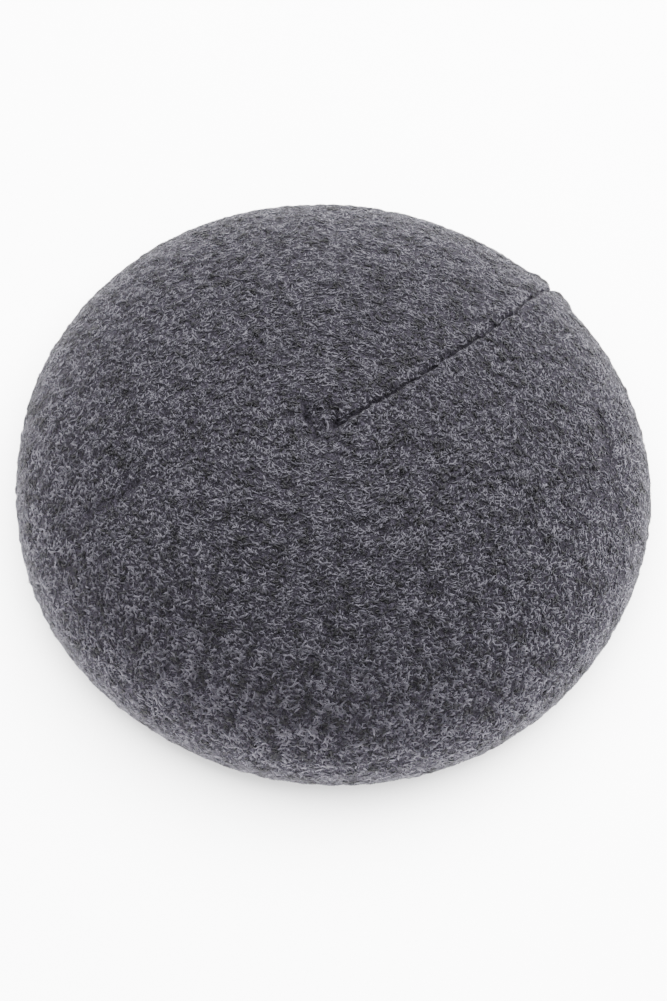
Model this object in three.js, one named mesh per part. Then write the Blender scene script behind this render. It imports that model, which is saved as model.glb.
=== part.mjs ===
// A knit beret in felted wool, lying on its open side.
//
// It is knitted as one disc, drawn together at the crown's middle and closed by one seam, which runs
// from there over the rim and on below to the head opening. Felting makes it one thick soft wall.
// Millimetres, +Z up. The origin is the middle of the flat ring that it rests on, +Y is its far side,
// and an angle ("turn") is counted in degrees from +X towards +Y.

import * as THREE from 'three';
import { mergeVertices } from 'three/addons/utils/BufferGeometryUtils.js';

// Overall form. The flat ring round the head opening is what it rests on, and the rim rolls under
// from the widest line to that ring.
const beretWidth = 280;
const crownHeight = 70;
const rimHeight = 25;
const openingWidth = 176;
const restWidth = 20;
const wall = 3;
const crownShiftX = -4.0;
const crownShiftY = 7.1;

// The crown's curve between its middle and its rim, as the two powers of a rounded oval
const crownFullness = 2.15;
const crownRoundness = 2.0;

// The gathered middle: a hollow, a small nub in it, and the puckers round it
const gatherReach = 17;
const gatherDepth = 2.4;
const nubWidth = 5;
const nubHeight = 1.6;
const puckerDepth = 2.2;

// The seam: a sunk line between two soft shoulders outside, with the cloth on either side puffed up
// towards the rim, and its turned-in edges inside
const seamTurn = 40;
const seamDepth = 2.4;
const seamWidth = 3.8;
const shoulderHeight = 0.5;
const shoulderReach = 3.4;
const puffHeight = 1.8;
const puffReach = 7;
const puffWidth = 10;
const turnInHeight = 1.6;
const turnInWidth = 5;

// Pressed creases and broad hollows, and how deep creases and puckers can go where they cross
const creaseDepth = 0.8;
const hollowDepth = 2.2;
const dentLimit = 1.9;

// The rim's outline, in equal steps round the beret from turn 0: radius is a share of half the width
// and height a share of the rim's height
const rimSections = [
  { radius: 1.000, height: 1.00 },
  { radius: 0.984, height: 1.04 },
  { radius: 0.983, height: 1.06 },
  { radius: 1.000, height: 1.03 },
  { radius: 1.026, height: 0.99 },
  { radius: 1.022, height: 0.97 },
  { radius: 1.001, height: 1.00 },
  { radius: 1.004, height: 1.02 },
  { radius: 0.996, height: 0.98 },
  { radius: 1.003, height: 0.95 },
  { radius: 1.010, height: 0.97 },
  { radius: 1.003, height: 0.99 },
];

// The seam's way over the crown: reach and side (how far it strays from its straight line) are
// shares of half the width, and depth and puff are shares of the seam's depth and of the puff's height
const seamSections = [
  { reach: 0.00, side: -0.022, depth: 0.0, puff: 0.0 },
  { reach: 0.03, side: -0.027, depth: 0.0, puff: 0.0 },
  { reach: 0.06, side: -0.038, depth: 0.9, puff: 0.1 },
  { reach: 0.11, side: -0.041, depth: 1.2, puff: 0.1 },
  { reach: 0.16, side: -0.047, depth: 1.0, puff: 0.1 },
  { reach: 0.23, side: -0.056, depth: 0.9, puff: 0.2 },
  { reach: 0.36, side: -0.058, depth: 1.0, puff: 0.2 },
  { reach: 0.48, side: -0.051, depth: 0.8, puff: 0.2 },
  { reach: 0.60, side: -0.045, depth: 1.0, puff: 0.2 },
  { reach: 0.74, side: -0.019, depth: 0.9, puff: 0.3 },
  { reach: 0.84, side: 0.013, depth: 1.0, puff: 0.5 },
  { reach: 0.92, side: 0.037, depth: 1.1, puff: 0.8 },
  { reach: 0.98, side: 0.056, depth: 1.2, puff: 1.0 },
];

// Dents: turn and reach place the middle, heading turns the dent away from the radius, length and
// width are its half sizes, and depth is a share of its own kind's depth, below zero where the cloth
// stands up. For puckers the lengths are shares of the gather's reach, for creases and hollows of
// half the width.
const puckers = [
  { turn: 142, reach: 0.63, heading: -52, length: 0.24, width: 0.075, depth: 1.0 },
  { turn: 182, reach: 0.37, heading: -65, length: 0.22, width: 0.075, depth: 1.1 },
  { turn: 235, reach: 0.42, heading: 50, length: 0.22, width: 0.070, depth: 1.0 },
  { turn: 346, reach: 0.31, heading: -86, length: 0.23, width: 0.065, depth: 1.1 },
  { turn: 243, reach: 0.24, heading: 10, length: 0.09, width: 0.045, depth: 0.5 },
  { turn: 278, reach: 0.55, heading: 0, length: 0.16, width: 0.050, depth: 0.4 },
  { turn: 39, reach: 0.42, heading: 25, length: 0.12, width: 0.050, depth: 0.5 },
  { turn: 75, reach: 0.48, heading: 10, length: 0.12, width: 0.055, depth: 0.5 },
  { turn: 90, reach: 0.00, heading: 0, length: 0.45, width: 0.100, depth: -0.5 },
];
const creases = [
  { turn: 195, reach: 0.58, heading: 6, length: 0.060, width: 0.012, depth: 0.9 },
  { turn: 197, reach: 0.69, heading: 10, length: 0.080, width: 0.014, depth: 1.0 },
  { turn: 199, reach: 0.80, heading: 4, length: 0.060, width: 0.016, depth: 0.7 },
  { turn: 8, reach: 0.845, heading: 90, length: 0.080, width: 0.022, depth: 0.8 },
  { turn: 359, reach: 0.855, heading: 84, length: 0.080, width: 0.024, depth: 1.0 },
  { turn: 351, reach: 0.895, heading: 78, length: 0.070, width: 0.024, depth: 0.8 },
];
const hollows = [
  { turn: 125, reach: 0.03, heading: 0, length: 0.26, width: 0.30, depth: 0.4 },
  { turn: 196, reach: 0.66, heading: 0, length: 0.22, width: 0.15, depth: 0.8 },
  { turn: 262, reach: 0.52, heading: 20, length: 0.24, width: 0.30, depth: 0.5 },
  { turn: 318, reach: 0.60, heading: 0, length: 0.22, width: 0.26, depth: -0.5 },
  { turn: 92, reach: 0.62, heading: -15, length: 0.24, width: 0.28, depth: -0.4 },
];

// How finely the faces follow the form outside and inside, and beside the seam as shares of the
// shoulders' reach
const outsideRows = { gather: 10, crown: 14, roll: 7, rest: 3 };
const insideRows = { gather: 3, crown: 10, roll: 5, rest: 1 };
const edgeRows = 4;
const openColumns = 74;
const seamColumns = [-3.6, -2.1, -1.0, -0.56, -0.2, 0, 0.2, 0.56, 1.0, 2.1, 3.6];

const FULL_TURN = 2 * Math.PI;
const QUARTER_TURN = Math.PI / 2;
const halfWidth = beretWidth / 2;
const restReach = (openingWidth + wall) / 2;
const rollDepth = halfWidth - restReach - restWidth;
const rimCurve = closedCurve(rimSections);

// A smooth closed curve through the rim's table, with x as the radius share and y as the height share
function closedCurve(sections) {
  const points = sections.map(section => new THREE.Vector3(section.radius, section.height, 0));
  return new THREE.CatmullRomCurve3(points, true, 'catmullrom', 0.5);
}

function radians(turn) {
  return THREE.MathUtils.degToRad(turn);
}

function mix(from, to, share) {
  return THREE.MathUtils.lerp(from, to, share);
}

function bell(value, halfSize) {
  return Math.exp(-((value / halfSize) ** 2));
}

// Two quarter circles that meet in a cusp: 0 at the half size and 1 at the middle
function cusp(value, halfSize) {
  const share = Math.min(Math.abs(value) / halfSize, 1);
  return 1 - Math.sqrt(1 - (1 - share) ** 2);
}

// Reads the seam's table at a course, easing from each row to the next. The course is the radius on
// the crown, and stays half the width below the rim.
function seamAt(course) {
  const reach = course / halfWidth;
  const next = seamSections.findIndex(section => section.reach > reach);
  if (next < 0) return seamSections[seamSections.length - 1];
  const before = seamSections[next - 1];
  const after = seamSections[next];
  const share = THREE.MathUtils.smoothstep(reach, before.reach, after.reach);
  return {
    side: mix(before.side, after.side, share),
    depth: mix(before.depth, after.depth, share),
    puff: mix(before.puff, after.puff, share),
  };
}

// The angle of a column where the seam has this radius and course. The first columns run beside the
// seam at set distances from it, and the others share the rest of the turn evenly.
function columnAngle(column, { radius, course }) {
  const along = Math.hypot(radius, gatherReach / 2);
  const seamSide = seamAt(course).side * halfWidth;
  const besideSeam = share => radians(seamTurn) + Math.atan2(seamSide + share * shoulderReach, along);
  if (column < seamColumns.length) return besideSeam(seamColumns[column]);
  const first = besideSeam(seamColumns[seamColumns.length - 1]);
  const last = besideSeam(seamColumns[0]) + FULL_TURN;
  return mix(first, last, (column - seamColumns.length + 1) / (openColumns + 1));
}

// The rows of a section, from the crown's middle to the end of the flat ring
function sectionRows(rows) {
  const stations = [{ kind: 'crown', share: 0 }];
  const gatherShare = gatherReach / halfWidth;
  for (let i = 1; i <= rows.gather; i++) {
    stations.push({ kind: 'crown', share: gatherShare * i / rows.gather });
  }
  const startAngle = Math.acos(gatherShare ** (crownFullness / 2));
  for (let i = 1; i <= rows.crown; i++) {
    const angle = startAngle * (1 - i / rows.crown);
    stations.push({ kind: 'crown', share: Math.cos(angle) ** (2 / crownFullness) });
  }
  for (let i = 1; i <= rows.roll; i++) stations.push({ kind: 'roll', share: i / rows.roll });
  for (let i = 1; i <= rows.rest; i++) stations.push({ kind: 'rest', share: i / rows.rest });
  return stations;
}

// A point of the section at one angle. inset is 0 on the outside and the wall on the inside, outward
// and upward say which way the wall faces, sideways is how far the crown's own shift acts, and course
// is where the seam's table is read.
function sectionPoint(inset, row, angle) {
  const rim = rimCurve.getPoint(THREE.MathUtils.euclideanModulo(angle / FULL_TURN, 1));
  const rimRadius = halfWidth * rim.x - inset;
  const rimZ = rimHeight * rim.y;
  if (row.kind === 'crown') return crownPoint(inset, row.share, rimRadius, rimZ);
  if (row.kind === 'roll') return rollPoint(inset, row.share, rimRadius, rimZ);
  const radius = mix(rimRadius - rollDepth + inset, restReach, row.share);
  return { radius, z: inset, outward: 0, upward: -1, sideways: 0, course: halfWidth };
}

// The crown is a rounded oval: (share ^ fullness) + (rise ^ roundness) = 1
function crownPoint(inset, share, rimRadius, rimZ) {
  const fullRise = crownHeight - inset - rimZ;
  const rise = (1 - share ** crownFullness) ** (1 / crownRoundness);
  const steepness = crownFullness * share ** (crownFullness - 1) / rimRadius;
  const flatness = crownRoundness * rise ** (crownRoundness - 1) / fullRise;
  const size = Math.hypot(steepness, flatness);
  return {
    radius: rimRadius * share,
    z: rimZ + fullRise * rise,
    outward: steepness / size,
    upward: flatness / size,
    sideways: 1 - share ** 2,
    course: rimRadius * share,
  };
}

// The rim's roll is a quarter of an oval, from the widest line down to the flat ring
function rollPoint(inset, share, rimRadius, rimZ) {
  const outward = Math.cos(QUARTER_TURN * share);
  const downward = Math.sin(QUARTER_TURN * share);
  return {
    radius: rimRadius - (rollDepth - inset) * (1 - outward),
    z: inset + (rimZ - inset) * (1 - downward),
    outward,
    upward: -downward,
    sideways: 0,
    course: halfWidth,
  };
}

// The opening's plain edge is a half round that joins the flat ring's outside to its inside
function edgePoint(share) {
  const angle = Math.PI * share;
  return {
    radius: restReach - wall / 2 * Math.sin(angle),
    z: wall / 2 * (1 - Math.cos(angle)),
    outward: -Math.sin(angle),
    upward: -Math.cos(angle),
    sideways: 0,
    course: halfWidth,
  };
}

// How far a point lies to the side of the seam's line
function seamDistance(point, angle) {
  const turned = angle - radians(seamTurn);
  if (Math.cos(turned) < 0) return halfWidth;
  return point.radius * Math.sin(turned) - seamAt(point.course).side * halfWidth;
}

// How strongly a dent acts at a point, from 0 to 1. size is what its lengths are shares of.
function dentStrength(dent, size, radius, angle) {
  const turned = angle - radians(dent.turn);
  const fromMiddle = radius * Math.cos(turned) / size - dent.reach;
  const aside = radius * Math.sin(turned) / size;
  const heading = radians(dent.heading);
  const along = fromMiddle * Math.cos(heading) + aside * Math.sin(heading);
  const across = aside * Math.cos(heading) - fromMiddle * Math.sin(heading);
  return bell(along, dent.length) * bell(across, dent.width);
}

function dents(table, depth, size, radius, angle) {
  return table.reduce((sum, dent) => sum - depth * dent.depth * dentStrength(dent, size, radius, angle), 0);
}

// The broad forms, which the wall's inside shares with its outside
function broadRelief(radius, angle) {
  const gather = -gatherDepth * bell(radius, gatherReach / 2);
  return gather + dents(hollows, hollowDepth, halfWidth, radius, angle);
}

// What is pressed into the outside alone, easing towards its limit so that the wall stays whole
function fineRelief(radius, angle) {
  const nub = nubHeight * bell(radius, nubWidth / 2);
  const gathered = dents(puckers, puckerDepth, gatherReach, radius, angle);
  const pressed = gathered + dents(creases, creaseDepth, halfWidth, radius, angle);
  return nub + dentLimit * Math.tanh(pressed / dentLimit);
}

function seamGroove(point, angle) {
  const distance = seamDistance(point, angle);
  const { depth, puff } = seamAt(point.course);
  const shoulders = shoulderHeight * bell(Math.abs(distance) - shoulderReach, shoulderReach / 2);
  const puffs = puffHeight * puff * bell(Math.abs(distance) - puffReach, puffWidth / 2);
  const raised = Math.max(point.outward, point.upward, 0) * (shoulders + puffs);
  return raised - seamDepth * depth * cusp(distance, seamWidth / 2);
}

function seamTurnIn(point, angle) {
  const height = turnInHeight * Math.min(seamAt(point.course).depth, 1);
  return -height * bell(seamDistance(point, angle), turnInWidth / 2);
}

// Puts a section's point in space, moved the way that the wall faces by its relief
function placePoint(point, angle, relief) {
  const radius = point.radius + point.outward * relief;
  return new THREE.Vector3(
    point.sideways * crownShiftX + radius * Math.cos(angle),
    point.sideways * crownShiftY + radius * Math.sin(angle),
    point.z + point.upward * relief,
  );
}

function outsidePoint(row, column) {
  const angle = columnAngle(column, sectionPoint(0, row, radians(seamTurn)));
  const point = sectionPoint(0, row, angle);
  const groove = seamGroove(point, angle);
  if (row.kind !== 'crown') return placePoint(point, angle, groove);
  const relief = broadRelief(point.radius, angle) + fineRelief(point.radius, angle);
  return placePoint(point, angle, groove + relief);
}

function insidePoint(row, column) {
  const angle = columnAngle(column, sectionPoint(wall, row, radians(seamTurn)));
  const point = sectionPoint(wall, row, angle);
  const turnIn = seamTurnIn(point, angle);
  if (row.kind !== 'crown') return placePoint(point, angle, turnIn);
  return placePoint(point, angle, turnIn + broadRelief(point.radius, angle));
}

function openingEdgePoint(share, column) {
  const angle = columnAngle(column, { radius: restReach, course: halfWidth });
  const point = edgePoint(share);
  return placePoint(point, angle, mix(seamGroove(point, angle), seamTurnIn(point, angle), share));
}

// The closed shell: outside, opening's edge and inside, as rings of points between two poles
function crownShell() {
  const columns = Array.from({ length: seamColumns.length + openColumns }, (_, column) => column);
  const [outerPole, ...outside] = sectionRows(outsideRows);
  const [innerPole, ...inside] = sectionRows(insideRows);
  const rings = outside.map(row => columns.map(column => outsidePoint(row, column)));
  for (let i = 1; i < edgeRows; i++) {
    rings.push(columns.map(column => openingEdgePoint(i / edgeRows, column)));
  }
  inside.reverse();
  rings.push(...inside.map(row => columns.map(column => insidePoint(row, column))));
  return ringsToGeometry(outsidePoint(outerPole, 0), rings, insidePoint(innerPole, 0));
}

function ringsToGeometry(firstPole, rings, lastPole) {
  const positions = [];
  const face = (...corners) => corners.forEach(corner => positions.push(corner.x, corner.y, corner.z));
  const firstRing = rings[0];
  const lastRing = rings[rings.length - 1];
  const count = firstRing.length;
  for (let i = 0; i < count; i++) {
    const next = (i + 1) % count;
    face(firstPole, firstRing[i], firstRing[next]);
    for (let j = 1; j < rings.length; j++) {
      face(rings[j - 1][i], rings[j][i], rings[j][next]);
      face(rings[j - 1][i], rings[j][next], rings[j - 1][next]);
    }
    face(lastRing[i], lastPole, lastRing[next]);
  }
  const geometry = new THREE.BufferGeometry();
  geometry.setAttribute('position', new THREE.Float32BufferAttribute(positions, 3));
  const merged = mergeVertices(geometry, 1e-4);
  merged.computeVertexNormals();
  return merged;
}

function feltedWool() {
  return new THREE.MeshStandardMaterial({ color: 0x5a595f, roughness: 0.95, metalness: 0 });
}

function makeCrown() {
  const crown = new THREE.Mesh(crownShell(), feltedWool());
  crown.name = 'crown';
  return crown;
}

const beret = new THREE.Group();
beret.name = 'knit_beret';
beret.add(makeCrown());

export default beret;
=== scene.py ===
"""A knit beret in felted charcoal wool, lying on its open side on a pale floor.

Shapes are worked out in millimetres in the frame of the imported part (+Z up, +Y the far side, turns
counted from +X towards +Y) and put into meshes in metres.
"""

import math

import bpy
import numpy as np
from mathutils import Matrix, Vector


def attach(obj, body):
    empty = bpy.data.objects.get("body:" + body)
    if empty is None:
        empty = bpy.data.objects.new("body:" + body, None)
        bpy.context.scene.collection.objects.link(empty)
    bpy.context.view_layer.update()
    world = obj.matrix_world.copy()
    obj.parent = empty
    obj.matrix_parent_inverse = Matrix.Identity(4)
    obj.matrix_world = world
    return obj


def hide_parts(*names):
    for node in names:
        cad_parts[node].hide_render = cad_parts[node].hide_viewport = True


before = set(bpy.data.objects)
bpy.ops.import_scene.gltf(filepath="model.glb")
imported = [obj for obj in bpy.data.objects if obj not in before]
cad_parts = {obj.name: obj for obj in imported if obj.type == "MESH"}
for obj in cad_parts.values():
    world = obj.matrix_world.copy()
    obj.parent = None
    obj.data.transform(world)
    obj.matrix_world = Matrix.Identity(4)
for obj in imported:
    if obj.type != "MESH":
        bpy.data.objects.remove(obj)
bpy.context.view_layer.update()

MM = 0.001

# The beret's form, as its solid has it
BERET_WIDTH = 280
CROWN_HEIGHT = 70
RIM_HEIGHT = 25
OPENING_WIDTH = 176
REST_WIDTH = 20
WALL = 3
CROWN_SHIFT = (-4.0, 7.1)
CROWN_FULLNESS = 2.15
CROWN_ROUNDNESS = 2.0
GATHER_REACH = 17
GATHER_DEPTH = 2.4
NUB_WIDTH = 5
NUB_HEIGHT = 1.6
PUCKER_DEPTH = 2.2
SEAM_TURN = math.radians(40)
SEAM_DEPTH = 2.4
SEAM_WIDTH = 3.8
SEAM_PUFF = 1.8
PUFF_REACH = 7
PUFF_WIDTH = 10
SHOULDER_HEIGHT = 0.5
SHOULDER_REACH = 3.4
TURN_IN_HEIGHT = 1.6
TURN_IN_WIDTH = 5
CREASE_DEPTH = 0.8
HOLLOW_DEPTH = 2.2
DENT_LIMIT = 1.9

HALF_WIDTH = BERET_WIDTH / 2
REST_REACH = (OPENING_WIDTH + WALL) / 2
ROLL_DEPTH = HALF_WIDTH - REST_REACH - REST_WIDTH

# The rim in equal steps round the beret: radius as a share of half the width, height of the rim's
RIM_RADIUS = np.array([1.000, 0.984, 0.983, 1.000, 1.026, 1.022, 1.001, 1.004, 0.996, 1.003, 1.010, 1.003])
RIM_LEVEL = np.array([1.00, 1.04, 1.06, 1.03, 0.99, 0.97, 1.00, 1.02, 0.98, 0.95, 0.97, 0.99])

# The seam's way: reach and side as shares of half the width, and depth and puff as shares of the
# seam's depth and of the puff that the cloth on either side has
SEAM_REACH = np.array([0.00, 0.03, 0.06, 0.11, 0.16, 0.23, 0.36, 0.48, 0.60, 0.74, 0.84, 0.92, 0.98])
SEAM_SIDE = np.array([-22, -27, -38, -41, -47, -56, -58, -51, -45, -19, 13, 37, 56]) / 1000
SEAM_SINK = np.array([0.0, 0.0, 0.9, 1.2, 1.0, 0.9, 1.0, 0.8, 1.0, 0.9, 1.0, 1.1, 1.2])
SEAM_SWELL = np.array([0.0, 0.0, 0.1, 0.1, 0.1, 0.2, 0.2, 0.2, 0.2, 0.3, 0.5, 0.8, 1.0])

# Small waves in the seam's line: how far, and over what length, in millimetres, with the radius at
# which they are full
SEAM_WAVES = ((0.35, 9.7), (0.25, 5.3))
FULL_WAVES = 20

# Dents, one a row: turn, reach, heading, half length, half width and depth share, with lengths as
# shares of the gather's reach for puckers and of half the width for creases and hollows. The three
# creases at the left lie a few millimetres further out than the solid's
PUCKERS = (
    (142, 0.63, -52, 0.24, 0.075, 1.0),
    (182, 0.37, -65, 0.22, 0.075, 1.1),
    (235, 0.42, 50, 0.22, 0.070, 1.0),
    (346, 0.31, -86, 0.23, 0.065, 1.1),
    (243, 0.24, 10, 0.09, 0.045, 0.5),
    (278, 0.55, 0, 0.16, 0.050, 0.4),
    (39, 0.42, 25, 0.12, 0.050, 0.5),
    (75, 0.48, 10, 0.12, 0.055, 0.5),
    (90, 0.00, 0, 0.45, 0.100, -0.5),
)
CREASES = (
    (196, 0.62, 0, 0.055, 0.016, 1.3),
    (198, 0.71, 0, 0.065, 0.018, 1.4),
    (200, 0.81, 0, 0.060, 0.018, 0.8),
    (8, 0.845, 90, 0.080, 0.022, 0.8),
    (359, 0.855, 84, 0.080, 0.024, 1.0),
    (351, 0.895, 78, 0.070, 0.024, 0.8),
)
HOLLOWS = (
    (125, 0.03, 0, 0.26, 0.30, 0.4),
    (196, 0.66, 0, 0.22, 0.15, 0.8),
    (262, 0.52, 20, 0.24, 0.30, 0.5),
    (318, 0.60, 0, 0.22, 0.26, -0.5),
    (92, 0.62, -15, 0.24, 0.28, -0.4),
)

# The felt's own unevenness: soft lumps of the fulled knit, in millimetres
LUMP_LENGTHS = (4.0, 14.0)
LUMP_HEIGHT = 0.17
LUMP_SEED = 11
WAVE_COUNT = 60

# The nap's shade, from 0 for black to 1 for mid grey: how far fibres differ one by one, by tufts and
# by patches, whose lengths are in millimetres
MIDDLE_SHADE = 0.5
SHADE_VARIETY = 0.46
CLUMP_LENGTHS = (1.8, 3.4)
CLUMP_STRENGTH = 0.24
CLUMP_SEED = 31
PATCH_LENGTHS = (3.5, 16.0)
PATCH_STRENGTH = 0.31
PATCH_SEED = 23

# Painted shade: how much darker the nap is painted in dents, where shade falls, over what depth that
# grows, and how much darker it is painted round the gather's near side, where its folds shade it, on
# a ring of this radius and half width
DENT_PAINTED_SHADE = 0.55
FULL_DENT = 0.7
GATHER_PAINTED_SHADE = 0.30
GATHER_RING = (6.0, 3.6)

# The felt's grain and how far it stands up, in millimetres
FELT_GRAIN = 1.1
GRAIN_RELIEF = 0.4

# Grid of the shell: rows for each stretch of the section, columns beside the seam and round the rest
OUTSIDE_ROWS = (104, 26, 6)
INSIDE_ROWS = (20, 8, 2)
EDGE_ROWS = 6
ROW_GATHERING = 1.25
OPEN_COLUMNS = 380
SEAM_COLUMNS = 34
SEAM_BAND = 7.0
COLUMN_GATHERING = 1.6

# Felted fibre bundles of the nap: length, width and how far they stand off, in millimetres, their
# spread, bow, twist, tilt and flatness, and how deep their tips and how low over the floor they lie
NAP_LENGTH = (2.4, 4.8)
TUFT_LENGTH = (1.6, 3.4)
NAP_WIDTH = (0.70, 1.30)
NAP_LIFT = (-0.10, 0.25)
NAP_SPREAD = math.radians(46)
FIBRE_BOW = 0.45
FIBRE_TWIST = 0.4
FIBRE_TILT = 0.04
FIBRE_FLATNESS = 0.26
ROOT_DEPTH = 0.35
FLOOR_GAP = 0.02

# Where the nap parts: clear of the seam's line, and thinner in dents; and the distance over which it
# turns along the seam, with the share of its spread that it loses there
SEAM_CLEARANCE = (0.6, 1.3)
DENT_THINNING = 0.75
SEAM_TURNING = 1.8
SEAM_CALM = 0.5

# Loose hairs, and how many more there are at the rim, at which stretch and over what spread
HAIR_LENGTH = (3.0, 6.5)
HAIR_WIDTH = (0.08, 0.14)
HAIR_LIFT = (0.6, 2.2)
HAIR_SPREAD = 2 * NAP_SPREAD
RIM_HAIRS = (2.5, 0.95, 0.3)

# Over which stretch of the section each kind lies, and how many there are
TOP_RANGE = (0, 1.5)
UNDER_RANGE = (1.5, 2.98)
HAIR_RANGE = (0, 2.0)
LONG_COUNT = 15500
TUFT_PARTS = 2
TUFT_COUNT = 28000
UNDER_COUNT = 11000
HAIR_COUNT = 15000
NAP_SEED = 7

# The grid of cells that fibres are scattered over, and the small step that finds the way of the
# surface, as a share of a stretch and in radians
SCATTER_GRID = (240, 360)
SURFACE_STEP = 0.004

# A fibre's rings of three points between its tips, as shares of half its length from its middle
LONG_RINGS = (-0.38, 0.38)
SHORT_RINGS = (0.0,)
CURL_RINGS = (-0.7, -0.35, 0.0, 0.35, 0.7)

# Bake coordinates: how far a fibre's shade runs across it, and the margin at its tips
SHADE_ACROSS = 0.008
TIP_PLACE = 0.02

# The gather's tuft, stray curls of yarn over its middle: over which stretch, how many, and their
# sizes in millimetres
TUFT_RANGE = (0.002, 0.034)
CURL_COUNT = 90
CURL_LENGTH = (2.6, 5.2)
CURL_WIDTH = (0.5, 0.9)
CURL_LIFT = (0.2, 1.5)
CURL_SPREAD = math.pi
PLACED_LIFT = 1.3

# The curls that show, from the crown's middle: x and y of both ends, bow as a share of half the
# length, width and shade
PLACED_CURLS = (
    (-2.7, 7.3, 0.2, 5.8, 0.30, 0.9, 0.90),
    (-2.0, 1.0, 1.0, 0.2, 0.45, 1.1, 0.95),
    (0.9, 0.6, 1.1, -5.4, 0.22, 1.1, 0.98),
    (-9.4, -3.0, -6.6, -2.0, 0.30, 1.0, 0.90),
    (2.4, 5.2, 5.0, 3.6, 0.35, 0.9, 0.80),
    (5.1, 1.4, 2.7, 3.1, -0.30, 0.9, 0.75),
    (-5.4, 2.6, -4.4, 5.8, -0.30, 0.9, 0.80),
    (-3.2, -3.4, -1.6, -6.6, 0.25, 0.9, 0.70),
)

# Photograph: image height in pixels, and the camera that gives its view of the beret: pixels for a
# size as large as its distance, sensor, rise above the floor, distance and target in millimetres
IMAGE_HEIGHT = 1001
PIXELS_AT_UNIT = 2731
SENSOR_WIDTH = 36
CAMERA_RISE = math.radians(64)
CAMERA_DISTANCE = 1200
CAMERA_TARGET = (0.1, -11.7, 30)

# The floor's half width in metres, the studio's even light, and soft lights that face one place, one
# a row: name, place and side in metres, and watts
FLOOR_REACH = 6.0
WORLD_STRENGTH = 0.25
LIGHTS = (
    ("key", (1.2, 1.1, 1.0), 1.8, 82),
    ("side", (-1.2, 1.0, 1.0), 1.8, 49),
    ("overhead", (0.3, 0.1, 2.2), 1.6, 5),
)
FLOOR_LIGHTS = (
    ("floor_back", (0.2, 0.4, 1.3), 2.0, 330),
    ("floor_front", (-0.1, -0.9, 1.0), 1.6, 50),
)
LIGHTS_AIM = (0, 0, 0.03)

rng = np.random.default_rng(NAP_SEED)


def linear(hex_colour):
    """Turns an sRGB hex colour into the linear one that shaders take."""
    shares = [int(hex_colour[i:i + 2], 16) / 255 for i in (1, 3, 5)]
    return tuple(s / 12.92 if s <= 0.04045 else ((s + 0.055) / 1.055) ** 2.4 for s in shares) + (1.0,)


def bell(value, half_size):
    """The bell curve e^-(value / half size)^2."""
    return np.exp(-(value / half_size) ** 2)


def crease(distance, half_width):
    """The sunk line between two round edges that touch: two quarter circles meeting in a cusp, from
    0 at half the width to 1 at the line."""
    share = np.clip(np.abs(distance) / half_width, 0, 1)
    return 1 - np.sqrt(1 - (1 - share) ** 2)


def rim_at(table, angle):
    """A table's value at an angle: a smooth closed curve through its rows, with the slope at each
    row taken from the rows on either side (Catmull-Rom)."""
    place = np.mod(angle / (2 * math.pi), 1) * len(table)
    row = np.floor(place).astype(int)
    t = place - row
    a, b, c, d = (table[(row + step) % len(table)] for step in (-1, 0, 1, 2))
    slope_b, slope_c = (c - a) / 2, (d - b) / 2
    square = 3 * (c - b) - 2 * slope_b - slope_c
    cube = 2 * (b - c) + slope_b + slope_c
    return b + slope_b * t + square * t ** 2 + cube * t ** 3


def seam_at(table, course):
    """A seam table's value at a radius of the crown, eased from row to row by the cubic 3t^2 - 2t^3."""
    reach = np.clip(course / HALF_WIDTH, 0, SEAM_REACH[-1])
    row = np.clip(np.searchsorted(SEAM_REACH, reach, side="right") - 1, 0, len(SEAM_REACH) - 2)
    t = (reach - SEAM_REACH[row]) / (SEAM_REACH[row + 1] - SEAM_REACH[row])
    return table[row] + (table[row + 1] - table[row]) * (3 * t ** 2 - 2 * t ** 3)


def seam_distance(radius, course, angle):
    """How far a point lies to the side of the seam's line, or half the width on the far half. The line
    strays from the table's by two small sine waves, which grow from the crown's middle."""
    turned = angle - SEAM_TURN
    wave = sum(size * np.sin(course * 2 * math.pi / length) for size, length in SEAM_WAVES)
    stray = wave * np.clip(course / FULL_WAVES, 0, 1)
    aside = radius * np.sin(turned) - seam_at(SEAM_SIDE, course) * HALF_WIDTH - stray
    return np.where(np.cos(turned) < 0, HALF_WIDTH, aside)


def dents(rows, depth, size, radius, angle):
    """The sum of the dents' depths: each is a bell along its heading times a bell across it."""
    total = np.zeros_like(radius)
    for turn, reach, heading, length, width, share in rows:
        turned = angle - math.radians(turn)
        out = radius * np.cos(turned) / size - reach
        aside = radius * np.sin(turned) / size
        way = math.radians(heading)
        along = out * math.cos(way) + aside * math.sin(way)
        across = aside * math.cos(way) - out * math.sin(way)
        total += depth * share * bell(along, length) * bell(across, width)
    return total


def pressed_in(radius, angle):
    """How deep puckers and creases press the outside in. Where they cross, their sum eases towards a
    limit by the hyperbolic tangent."""
    total = dents(PUCKERS, PUCKER_DEPTH, GATHER_REACH, radius, angle)
    total += dents(CREASES, CREASE_DEPTH, HALF_WIDTH, radius, angle)
    return DENT_LIMIT * np.tanh(total / DENT_LIMIT)


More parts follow.
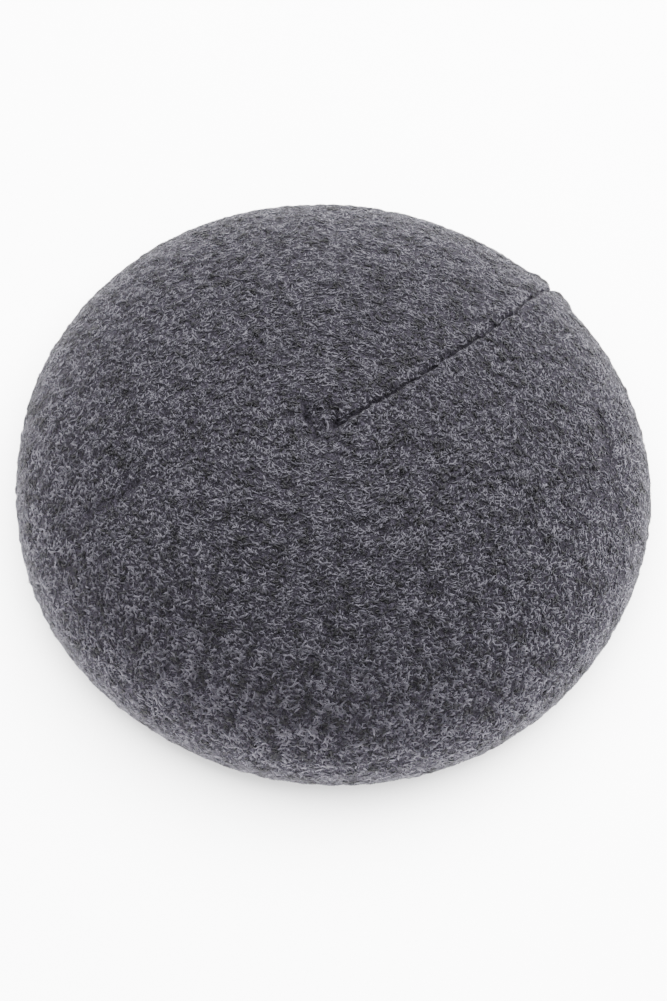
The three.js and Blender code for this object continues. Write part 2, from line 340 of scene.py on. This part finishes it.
def section(inset, stretch, angle):
    """A point of the wall's section. stretch runs from 0 at the crown's middle to 1 at the rim, 2 at
    the end of the roll and 3 at the opening; inset is 0 outside and the wall inside. The crown is
    the rounded oval share^fullness + rise^roundness = 1, the roll a quarter of an oval, and the
    rest a straight line. Gives radius, height, the outward and upward parts of the way that the
    wall faces, the share of the crown's shift, and the radius at which the seam's table is read,
    which stays the rim's beyond it."""
    rim = HALF_WIDTH * rim_at(RIM_RADIUS, angle) - inset
    level = RIM_HEIGHT * rim_at(RIM_LEVEL, angle)
    share = np.sin(np.clip(stretch, 0, 1) * math.pi / 2) ** (2 / CROWN_FULLNESS)
    rise = np.clip(1 - share ** CROWN_FULLNESS, 0, 1) ** (1 / CROWN_ROUNDNESS)
    full_rise = CROWN_HEIGHT - inset - level
    steep = CROWN_FULLNESS * share ** (CROWN_FULLNESS - 1) / rim
    flat = CROWN_ROUNDNESS * rise ** (CROWN_ROUNDNESS - 1) / full_rise
    size = np.hypot(steep, flat)
    turned = np.clip(stretch - 1, 0, 1) * math.pi / 2
    across = np.clip(stretch - 2, 0, 1)
    roll_end = rim - ROLL_DEPTH + inset
    on_crown, on_roll = stretch <= 1, (stretch > 1) & (stretch <= 2)
    radius = np.select([on_crown, on_roll],
                       [rim * share, rim - (ROLL_DEPTH - inset) * (1 - np.cos(turned))],
                       roll_end + (REST_REACH - roll_end) * across)
    height = np.select([on_crown, on_roll],
                       [level + full_rise * rise, inset + (level - inset) * (1 - np.sin(turned))], inset)
    outward = np.select([on_crown, on_roll], [steep / size, np.cos(turned)], 0)
    upward = np.select([on_crown, on_roll], [flat / size, -np.sin(turned)], -1)
    shift = np.where(on_crown, 1 - share ** 2, 0)
    course = np.where(on_crown, radius, rim)
    return radius, height, outward, upward, shift, course


def place(radius, height, outward, upward, shift, angle, relief):
    """Points in space from a section's values, moved the way that the wall faces by the relief, but
    not below the floor."""
    reach = radius + outward * relief
    return np.stack([
        shift * CROWN_SHIFT[0] + reach * np.cos(angle),
        shift * CROWN_SHIFT[1] + reach * np.sin(angle),
        np.maximum(height + upward * relief, 0),
    ], axis=-1)


def soft_noise(points, lengths, seed):
    """The sum of plane waves in random directions, with their lengths between two limits, scaled to
    a spread of 1."""
    waves = np.random.default_rng(seed)
    direction = waves.normal(size=(WAVE_COUNT, 3))
    direction /= np.linalg.norm(direction, axis=1, keepdims=True)
    length = np.exp(waves.uniform(*np.log(lengths), WAVE_COUNT))
    phase = waves.uniform(0, 2 * math.pi, WAVE_COUNT)
    total = np.zeros(points.shape[:-1])
    for way, size, start in zip(direction, length, phase):
        total += np.sin(points @ way * (2 * math.pi / size) + start)
    return total * math.sqrt(2 / WAVE_COUNT)


def felt_lumps(points):
    """How far the fulled knit's lumps stand out at each point."""
    return LUMP_HEIGHT * soft_noise(points, LUMP_LENGTHS, LUMP_SEED)


def outside(stretch, angle):
    """The wall's outside: the section with the gather's hollow, nub and puckers, the creases and
    hollows, the seam's groove between two shoulders, and the felt's lumps. Gives the points and
    the way that they face."""
    radius, height, outward, upward, shift, course = section(0, stretch, angle)
    crown = np.where(stretch <= 1, 1.0, 0.0)
    relief = -GATHER_DEPTH * bell(radius, GATHER_REACH / 2) + NUB_HEIGHT * bell(radius, NUB_WIDTH / 2)
    relief -= pressed_in(radius, angle) + dents(HOLLOWS, HOLLOW_DEPTH, HALF_WIDTH, radius, angle)
    distance = seam_distance(radius, course, angle)
    shoulders = SHOULDER_HEIGHT * bell(np.abs(distance) - SHOULDER_REACH, SHOULDER_REACH / 2)
    puff = SEAM_PUFF * seam_at(SEAM_SWELL, course) * bell(np.abs(distance) - PUFF_REACH, PUFF_WIDTH / 2)
    groove = SEAM_DEPTH * seam_at(SEAM_SINK, course) * crease(distance, SEAM_WIDTH / 2)
    raised = np.clip(np.maximum(outward, upward), 0, 1)
    relief = relief * crown + raised * (shoulders + puff) - groove
    smooth = place(radius, height, outward, upward, shift, angle, 0)
    relief += felt_lumps(smooth) * raised
    facing = np.stack([outward * np.cos(angle), outward * np.sin(angle), upward], axis=-1)
    return place(radius, height, outward, upward, shift, angle, relief), facing


def inside(stretch, angle):
    """The wall's inside: the section one wall further in, with the gather's hollow, the broad
    hollows and the ridge of the seam's turned-in edges."""
    radius, height, outward, upward, shift, course = section(WALL, stretch, angle)
    crown = np.where(stretch <= 1, 1.0, 0.0)
    broad = -GATHER_DEPTH * bell(radius, GATHER_REACH / 2)
    broad -= dents(HOLLOWS, HOLLOW_DEPTH, HALF_WIDTH, radius, angle)
    beside = bell(seam_distance(radius, course, angle), TURN_IN_WIDTH / 2)
    turned_in = np.minimum(seam_at(SEAM_SINK, course), 1) * beside
    smooth = place(radius, height, outward, upward, shift, angle, 0)
    relief = broad * crown - TURN_IN_HEIGHT * turned_in + felt_lumps(smooth) * (1 - np.clip(-upward, 0, 1))
    return place(radius, height, outward, upward, shift, angle, relief)


def opening_edge(share, angle):
    """The opening's edge: half a circle of half the wall, from the flat ring's outside to its inside."""
    turned = math.pi * share
    radius = REST_REACH - WALL / 2 * np.sin(turned)
    height = WALL / 2 * (1 - np.cos(turned))
    distance = seam_distance(radius, HALF_WIDTH, angle)
    groove = SEAM_DEPTH * SEAM_SINK[-1] * crease(distance, SEAM_WIDTH / 2)
    turned_in = TURN_IN_HEIGHT * bell(distance, TURN_IN_WIDTH / 2)
    relief = -groove * (1 - share) - turned_in * share
    return place(radius, height, -np.sin(turned), -np.cos(turned), 0, angle, relief)


def column_angles(radius, course):
    """The angle of each column at each row's radius and course: those beside the seam keep set
    distances from it, closer together towards its line, and the others share the rest of the turn
    evenly."""
    spread = np.linspace(-1, 1, SEAM_COLUMNS)
    beside = np.sign(spread) * np.abs(spread) ** COLUMN_GATHERING * SEAM_BAND
    along = np.hypot(radius, GATHER_REACH / 2)[:, None]
    side = (seam_at(SEAM_SIDE, course) * HALF_WIDTH)[:, None]
    seam = SEAM_TURN + np.arctan2(side + beside, along)
    share = np.arange(1, OPEN_COLUMNS + 1) / (OPEN_COLUMNS + 1)
    rest = seam[:, -1:] + (seam[:, :1] + 2 * math.pi - seam[:, -1:]) * share
    return np.concatenate([seam, rest], axis=1)


def on_seam(inset, stretch):
    """Radius and course at the seam's turn."""
    values = section(inset, stretch, SEAM_TURN)
    return values[0], values[-1]


def stretch_rows(counts):
    """The rows' stretches: even ones, but for the crown's, which come closer towards its middle."""
    crown, roll, ring = counts
    return np.concatenate([
        np.linspace(0, 1, crown + 1)[1:] ** ROW_GATHERING,
        np.linspace(1, 2, roll + 1)[1:],
        np.linspace(2, 3, ring + 1)[1:],
    ])


def shell_points():
    """Rings of points from the crown's outer middle over the rim and the opening's edge to the
    crown's inner middle, with the two middles themselves."""
    at_seam = np.full(1, SEAM_TURN)
    rows_out, rows_in = stretch_rows(OUTSIDE_ROWS), stretch_rows(INSIDE_ROWS)[::-1]
    angle_out = column_angles(*on_seam(0, rows_out))
    outer = outside(np.broadcast_to(rows_out[:, None], angle_out.shape), angle_out)[0]
    shares = np.linspace(0, 1, EDGE_ROWS + 1)[1:-1, None]
    angle_edge = column_angles(np.full(EDGE_ROWS - 1, REST_REACH), np.full(EDGE_ROWS - 1, HALF_WIDTH))
    edge = opening_edge(shares, angle_edge)
    angle_in = column_angles(*on_seam(WALL, rows_in))
    inner = inside(np.broadcast_to(rows_in[:, None], angle_in.shape), angle_in)
    top = outside(np.zeros(1), at_seam)[0][0]
    under_top = inside(np.zeros(1), at_seam)[0]
    return np.concatenate([outer, edge, inner]), top, under_top


def ring_faces(ring_count, column_count, first_pole, last_pole):
    """Triangles of a closed shell: two for each cell between neighbouring rings, and a fan at
    each pole."""
    ring, column = np.meshgrid(np.arange(ring_count - 1), np.arange(column_count), indexing="ij")
    after = (column + 1) % column_count
    a, b = ring * column_count + column, ring * column_count + after
    c, d = a + column_count, b + column_count
    cells = np.stack([np.stack([a, c, d], -1), np.stack([a, d, b], -1)]).reshape(-1, 3)
    turn = np.arange(column_count)
    following = (turn + 1) % column_count
    last = (ring_count - 1) * column_count
    start = np.stack([np.full(column_count, first_pole), turn, following], -1)
    end = np.stack([last + turn, np.full(column_count, last_pole), last + following], -1)
    return np.concatenate([start, cells, end])


def mesh_piece(name, points, faces, material, bake_places=None):
    """A mesh object from arrays of points in millimetres and triangles, smooth all over."""
    mesh = bpy.data.meshes.new(name)
    mesh.vertices.add(len(points))
    mesh.vertices.foreach_set("co", (points * MM).astype(np.float32).ravel())
    mesh.loops.add(faces.size)
    mesh.loops.foreach_set("vertex_index", faces.astype(np.int32).ravel())
    mesh.polygons.add(len(faces))
    mesh.polygons.foreach_set("loop_start", np.arange(0, faces.size, 3, dtype=np.int32))
    mesh.polygons.foreach_set("use_smooth", np.ones(len(faces), dtype=bool))
    if bake_places is not None:
        layer = mesh.uv_layers.new(name="OFBake")
        layer.data.foreach_set("uv", bake_places[faces.ravel()].astype(np.float32).ravel())
    mesh.update(calc_edges=True)
    mesh.validate()
    mesh.materials.append(material)
    piece = bpy.data.objects.new(name, mesh)
    bpy.context.scene.collection.objects.link(piece)
    return piece


def make_crown(material):
    """The felt as one closed shell, outside, opening's edge and inside."""
    rings, top, under_top = shell_points()
    ring_count, column_count = rings.shape[:2]
    points = np.concatenate([rings.reshape(-1, 3), [top], [under_top]])
    faces = ring_faces(ring_count, column_count, ring_count * column_count, ring_count * column_count + 1)
    return mesh_piece("crown_felt", points, faces, material)


def scatter(count, stretch_range, density=np.ones_like):
    """Random places on the outside, as stretch and angle, spread evenly over its area times a density
    that is a function of the stretch."""
    rows, columns = SCATTER_GRID
    stretch = np.linspace(*stretch_range, rows + 1)
    angle = np.linspace(0, 2 * math.pi, columns + 1)
    grid = outside_points(*np.broadcast_arrays(stretch[:, None], angle))
    down = grid[1:, :-1] - grid[:-1, :-1]
    round_about = grid[:-1, 1:] - grid[:-1, :-1]
    area = np.linalg.norm(np.cross(down, round_about), axis=-1)
    weight = (area * density((stretch[:-1] + stretch[1:]) / 2)[:, None]).ravel()
    cell = rng.choice(rows * columns, count, p=weight / weight.sum())
    row = cell // columns + rng.random(count)
    column = cell % columns + rng.random(count)
    return stretch[0] + row * (stretch[1] - stretch[0]), column * (2 * math.pi / columns)


def directions(surface, stretch, angle):
    """At each place the surface's point, the way round the crown, the way out along the section,
    and the way that it faces, from small steps to either side."""
    here = surface(stretch, angle)
    out = surface(stretch + SURFACE_STEP, angle)
    out -= surface(np.maximum(stretch - SURFACE_STEP, 0), angle)
    about = surface(stretch, angle + SURFACE_STEP) - surface(stretch, angle - SURFACE_STEP)
    about /= np.linalg.norm(about, axis=-1, keepdims=True)
    facing = np.cross(out, about)
    facing /= np.linalg.norm(facing, axis=-1, keepdims=True)
    return here, about, np.cross(about, facing), -facing


def beside_seam(stretch, angle):
    """How far each place on the outside is from the seam's line."""
    values = section(0, stretch, angle)
    return np.abs(seam_distance(values[0], values[-1], angle))


def in_dent(stretch, angle):
    """How far each place is in a dent, from 0 outside to 1 deep in it, by the hyperbolic tangent."""
    depth = pressed_in(section(0, stretch, angle)[0], angle)
    return np.tanh(np.clip(depth, 0, None) / FULL_DENT)


def parted(stretch, angle):
    """Keeps the places that aren't in the seam's sunk line, and of those in a dent the fewer the
    deeper it is."""
    clear = beside_seam(stretch, angle) > between(SEAM_CLEARANCE, len(stretch))
    clear &= rng.random(len(stretch)) > DENT_THINNING * in_dent(stretch, angle)
    return stretch[clear], angle[clear]


def tube_faces(ring_count):
    """Triangles of one tube: a fan at each tip and two for each side between rings of three."""
    last = ring_count * 3 + 1
    faces = []
    for corner in range(3):
        following = (corner + 1) % 3
        faces.append((0, 1 + following, 1 + corner))
        faces.append((last, last - 3 + corner, last - 3 + following))
        for ring in range(1, last - 3, 3):
            faces.append((ring + corner, ring + following, ring + 3 + following))
            faces.append((ring + corner, ring + 3 + following, ring + 3 + corner))
    return np.array(faces)


def tubes(name, course, aside, facing, width, shade, material):
    """Closed three-sided tubes. Each runs through its row of places from tip to tip, with a ring of
    three points round every place between: one on top and two beside it, flattened. Its shade is the
    first bake coordinate and its length the second."""
    count, stations = course.shape[:2]
    turned = np.arange(3) * 2 * math.pi / 3 + math.pi / 2
    across_it = np.cos(turned)[:, None] * aside[:, None]
    through_it = FIBRE_FLATNESS * np.sin(turned)[:, None] * facing[:, None]
    offset = across_it + through_it
    rings = course[:, 1:-1, None] + offset[:, None] * width[:, None, None, None] / 2
    points = np.concatenate([course[:, :1], rings.reshape(count, -1, 3), course[:, -1:]], axis=1)
    points[..., 2] = np.maximum(points[..., 2], FLOOR_GAP)
    size = points.shape[1]
    faces = (np.arange(count)[:, None, None] * size + tube_faces(stations - 2)).reshape(-1, 3)
    across = np.concatenate([[0], np.tile(SHADE_ACROSS * np.cos(turned), stations - 2), [0]])
    length = np.linspace(TIP_PLACE, 1 - TIP_PLACE, stations)
    places = np.empty((count, size, 2))
    places[..., 0] = np.clip(shade, TIP_PLACE, 1 - TIP_PLACE)[:, None] + across
    places[..., 1] = np.concatenate([length[:1], np.repeat(length[1:-1], 3), length[-1:]])
    return mesh_piece(name, points.reshape(-1, 3), faces, material, places.reshape(-1, 2))


def fibres(name, places, rings, length, width, lift, spread, material):
    """Fibres of the nap. The course of each across the surface is a parabola plus a cubic in its
    length, and it arches up by its lift between two tips that are sunk in the felt. Most lie round
    the crown, turned by a normal spread, and beside the seam they turn along it. The shade of each is
    its own, plus that of its tuft and of its patch; it is darker in dents and on the gather's near
    side, which is painted shade for the shadow that folds cast there."""
    stretch, angle = parted(*places)
    count = len(stretch)
    half = between(length, count)[:, None] / 2
    here, about, out, facing = directions(outside_points, stretch, angle)
    turning = bell(beside_seam(stretch, angle), SEAM_TURNING)
    heading = rng.normal(0, spread, count) * (1 - SEAM_CALM * turning) + turning * math.pi / 2
    heading = heading[:, None]
    along = np.cos(heading) * about + np.sin(heading) * out
    aside = np.cross(facing, along)
    bow, twist, tilt = (rng.normal(0, size, (count, 1)) for size in (FIBRE_BOW, FIBRE_TWIST, FIBRE_TILT))
    at = np.array((-1.0, *rings, 1.0))
    sideways = half * (bow * (at ** 2 - 1 / 3) + twist * (at ** 3 - at * 3 / 5))
    height = between(lift, count)[:, None] * (1 - at ** 2) - ROOT_DEPTH * at ** 2 + tilt * half * at
    ways = ((along, half * at), (aside, sideways), (facing, height))
    course = here[:, None] + sum(way[:, None] * size[..., None] for way, size in ways)
    shade = MIDDLE_SHADE + SHADE_VARIETY * (rng.random(count) - 0.5)
    shade += PATCH_STRENGTH * soft_noise(here, PATCH_LENGTHS, PATCH_SEED)
    shade += CLUMP_STRENGTH * soft_noise(here, CLUMP_LENGTHS, CLUMP_SEED)
    # Painted shade: the nap is darker in dents, standing in for the shadow that falls in them
    shade -= DENT_PAINTED_SHADE * in_dent(stretch, angle)
    # Painted shade: darker on a ring round the gather, most on its near side, for the shadow of its folds
    ring_radius, ring_width = GATHER_RING
    painted_shade_ring = bell(section(0, stretch, angle)[0] - ring_radius, ring_width)
    shade -= GATHER_PAINTED_SHADE * painted_shade_ring * (1 - np.sin(angle)) / 2
    return tubes(name, course, aside, facing, between(width, count), shade, material)


def placed_curls(material):
    """The gather's curls from their table. Each runs from one end to the other, bowed aside and up by
    parabolas, over the crown's outside under it."""
    x_start, y_start, x_end, y_end, bow, width, shade = np.array(PLACED_CURLS).T
    half_x, half_y = (x_end - x_start) / 2, (y_end - y_start) / 2
    at = np.array((-1.0, *CURL_RINGS, 1.0))
    arch = 1 - at ** 2
    x = ((x_start + x_end) / 2)[:, None] + np.outer(half_x, at) - np.outer(half_y * bow, arch)
    y = ((y_start + y_end) / 2)[:, None] + np.outer(half_y, at) + np.outer(half_x * bow, arch)
    angle = np.arctan2(y, x)
    share = np.hypot(x, y) / (HALF_WIDTH * rim_at(RIM_RADIUS, angle))
    stretch = np.arcsin(share ** (CROWN_FULLNESS / 2)) * 2 / math.pi
    course = outside_points(stretch, angle)
    course[..., 2] += PLACED_LIFT * arch - ROOT_DEPTH * at ** 2
    half = np.hypot(half_x, half_y)
    aside = np.stack([-half_y / half, half_x / half, np.zeros_like(half)], axis=-1)
    facing = np.broadcast_to([0.0, 0.0, 1.0], aside.shape)
    return tubes("gather_curls", course, aside, facing, width, shade, material)


def outside_points(stretch, angle):
    """The outside's points alone."""
    return outside(stretch, angle)[0]


def between(limits, count):
    """Random sizes, spread evenly between two limits."""
    return rng.uniform(*limits, count)


def more_at_rim(stretch):
    """The density of loose hairs: 1, and more at the rim by a bell."""
    more, middle, spread = RIM_HAIRS
    return 1 + more * bell(stretch - middle, spread)


def make_nap(material):
    """Long curled fibres and two parts of short ones over the crown and rim, a thinner nap below,
    loose hairs that stand off, most of them at the rim, and the curls over the gather."""
    pieces = [fibres("nap_long", scatter(LONG_COUNT, TOP_RANGE), LONG_RINGS, NAP_LENGTH, NAP_WIDTH,
                     NAP_LIFT, NAP_SPREAD, material)]
    for part in range(TUFT_PARTS):
        pieces.append(fibres(f"nap_short_{part + 1}", scatter(TUFT_COUNT, TOP_RANGE), SHORT_RINGS,
                             TUFT_LENGTH, NAP_WIDTH, NAP_LIFT, NAP_SPREAD, material))
    pieces.append(fibres("nap_under", scatter(UNDER_COUNT, UNDER_RANGE), SHORT_RINGS, NAP_LENGTH,
                         NAP_WIDTH, NAP_LIFT, NAP_SPREAD, material))
    pieces.append(fibres("loose_hairs", scatter(HAIR_COUNT, HAIR_RANGE, more_at_rim), SHORT_RINGS,
                         HAIR_LENGTH, HAIR_WIDTH, HAIR_LIFT, HAIR_SPREAD, material))
    pieces.append(fibres("gather_tuft", scatter(CURL_COUNT, TUFT_RANGE), CURL_RINGS, CURL_LENGTH,
                         CURL_WIDTH, CURL_LIFT, CURL_SPREAD, material))
    pieces.append(placed_curls(material))
    return pieces


def new_material(name):
    """An empty material, ready for its nodes."""
    material = bpy.data.materials.new(name)
    material.use_nodes = True
    material.node_tree.nodes.clear()
    return material


def add(material, kind, settings=None, links=None):
    """Adds one node: settings are its properties or socket values, links its sockets' sources."""
    tree = material.node_tree
    node = tree.nodes.new(kind)
    for key, value in (settings or {}).items():
        if hasattr(node, key):
            setattr(node, key, value)
        else:
            node.inputs[key].default_value = value
    for key, source in (links or {}).items():
        tree.links.new(source, node.inputs[key])
    return node


def ramp(material, source, stops):
    """Colours along a value, from stops of place and hex colour."""
    node = add(material, "ShaderNodeValToRGB", links={"Fac": source})
    elements = node.color_ramp.elements
    while len(elements) < len(stops):
        elements.new(0.5)
    for element, (position, colour) in zip(elements, stops):
        element.position = position
        element.color = linear(colour)
    return node.outputs["Color"]


def fibre_wool():
    """Merino fibres dyed before spinning in black, charcoal and mid grey, matt: each bundle in the nap
    has its own shade near its neighbours', which gives the eye the soft salt-and-pepper of a marl. Its
    dark end also shows the painted shade that the nap is given in dents and round the gather."""
    material = new_material("dyed_fibres_and_painted_shade")
    place_on_fibre = add(material, "ShaderNodeUVMap", {"uv_map": "OFBake"})
    parts = add(material, "ShaderNodeSeparateXYZ", links={"Vector": place_on_fibre.outputs["UV"]})
    shade = ramp(material, parts.outputs["X"], (
        (0.00, "#131217"), (0.20, "#34313b"), (0.50, "#55535e"), (0.82, "#63606b"), (1.00, "#6d6a75")))
    shader = add(material, "ShaderNodeBsdfPrincipled",
                 {"Roughness": 0.85, "IOR": 1.54, "Sheen Weight": 0.1, "Sheen Roughness": 0.5,
                  "Specular IOR Level": 0.25}, {"Base Color": shade})
    add(material, "ShaderNodeOutputMaterial", links={"Surface": shader.outputs["BSDF"]})
    return material


def felted_wool():
    """The fulled knit under the nap: matted wool with its own grain, in colours darker than the
    fibres' as painted shade for the shadow that the nap casts on it.
    """
    material = new_material("felted_marl_and_painted_shade")
    where = add(material, "ShaderNodeTexCoord").outputs["Object"]
    grain = add(material, "ShaderNodeTexNoise",
                {"Scale": 1 / (FELT_GRAIN * MM), "Detail": 3, "Roughness": 0.6, "Distortion": 1.2},
                {"Vector": where})
    # Painted shade: these colours are darker than the fibres' for the shadow under the nap; the grain's
    # spread is the felt's own
    shade = ramp(material, grain.outputs["Fac"], ((0.32, "#111015"), (0.50, "#312e37"), (0.68, "#5a5562")))
    bump = add(material, "ShaderNodeBump", {"Strength": 0.8, "Distance": GRAIN_RELIEF * MM},
               {"Height": grain.outputs["Fac"]})
    shader = add(material, "ShaderNodeBsdfPrincipled",
                 {"Roughness": 0.95, "IOR": 1.54, "Sheen Weight": 0.1, "Sheen Roughness": 0.5,
                  "Specular IOR Level": 0.2}, {"Base Color": shade, "Normal": bump.outputs["Normal"]})
    add(material, "ShaderNodeOutputMaterial", links={"Surface": shader.outputs["BSDF"]})
    return material


def floor_paper():
    """A studio's white background paper, matt, so that only the beret's soft shadow shows on it."""
    material = new_material("white_paper")
    shader = add(material, "ShaderNodeBsdfPrincipled",
                 {"Base Color": linear("#f4f4f4"), "Roughness": 0.9, "Specular IOR Level": 0.1})
    add(material, "ShaderNodeOutputMaterial", links={"Surface": shader.outputs["BSDF"]})
    return material


def make_floor():
    """A square of paper under the beret."""
    mesh = bpy.data.meshes.new("floor")
    signs = ((-1, -1), (1, -1), (1, 1), (-1, 1))
    mesh.from_pydata([(x * FLOOR_REACH, y * FLOOR_REACH, 0) for x, y in signs], [], [(0, 1, 2, 3)])
    mesh.materials.append(floor_paper())
    floor = bpy.data.objects.new("floor", mesh)
    bpy.context.scene.collection.objects.link(floor)
    return floor


def softbox(name, place_m, size, power, lit=None):
    """A square soft light that faces the beret, or lights only what is named."""
    light = bpy.data.lights.new(name, "AREA")
    light.size = size
    light.energy = power
    lamp = bpy.data.objects.new(name, light)
    lamp.location = place_m
    lamp.rotation_euler = (Vector(LIGHTS_AIM) - Vector(place_m)).to_track_quat("-Z", "Y").to_euler()
    bpy.context.scene.collection.objects.link(lamp)
    if lit is not None:
        only = bpy.data.collections.new(name + "_lights")
        only.objects.link(lit)
        lamp.light_linking.receiver_collection = only


def make_lights(floor):
    """Soft light from behind on the right, a weaker one on the left and a faint one from above, with
    ones for the floor alone, which make it white and throw light up under the rim."""
    world = bpy.data.worlds.new("studio")
    world.use_nodes = True
    background = world.node_tree.nodes["Background"]
    background.inputs["Color"].default_value = (1, 1, 1, 1)
    background.inputs["Strength"].default_value = WORLD_STRENGTH
    bpy.context.scene.world = world
    for light in LIGHTS:
        softbox(*light)
    for light in FLOOR_LIGHTS:
        softbox(*light, floor)


def make_camera():
    """The camera stands back from its target at the photograph's angle, with the lens that makes
    one millimetre at the target as many pixels as the photograph shows."""
    data = bpy.data.cameras.new("camera")
    data.sensor_width = SENSOR_WIDTH
    data.lens = PIXELS_AT_UNIT / IMAGE_HEIGHT * SENSOR_WIDTH
    camera = bpy.data.objects.new("camera", data)
    target = Vector(CAMERA_TARGET) * MM
    back = Vector((0, -math.cos(CAMERA_RISE), math.sin(CAMERA_RISE)))
    camera.location = target + back * CAMERA_DISTANCE * MM
    camera.rotation_euler = (-back).to_track_quat("-Z", "Y").to_euler()
    bpy.context.scene.collection.objects.link(camera)
    bpy.context.scene.camera = camera


make_camera()
make_lights(make_floor())
crown = make_crown(felted_wool())
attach(crown, "root")
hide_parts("crown")
for piece in make_nap(fibre_wool()):
    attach(piece, "root")
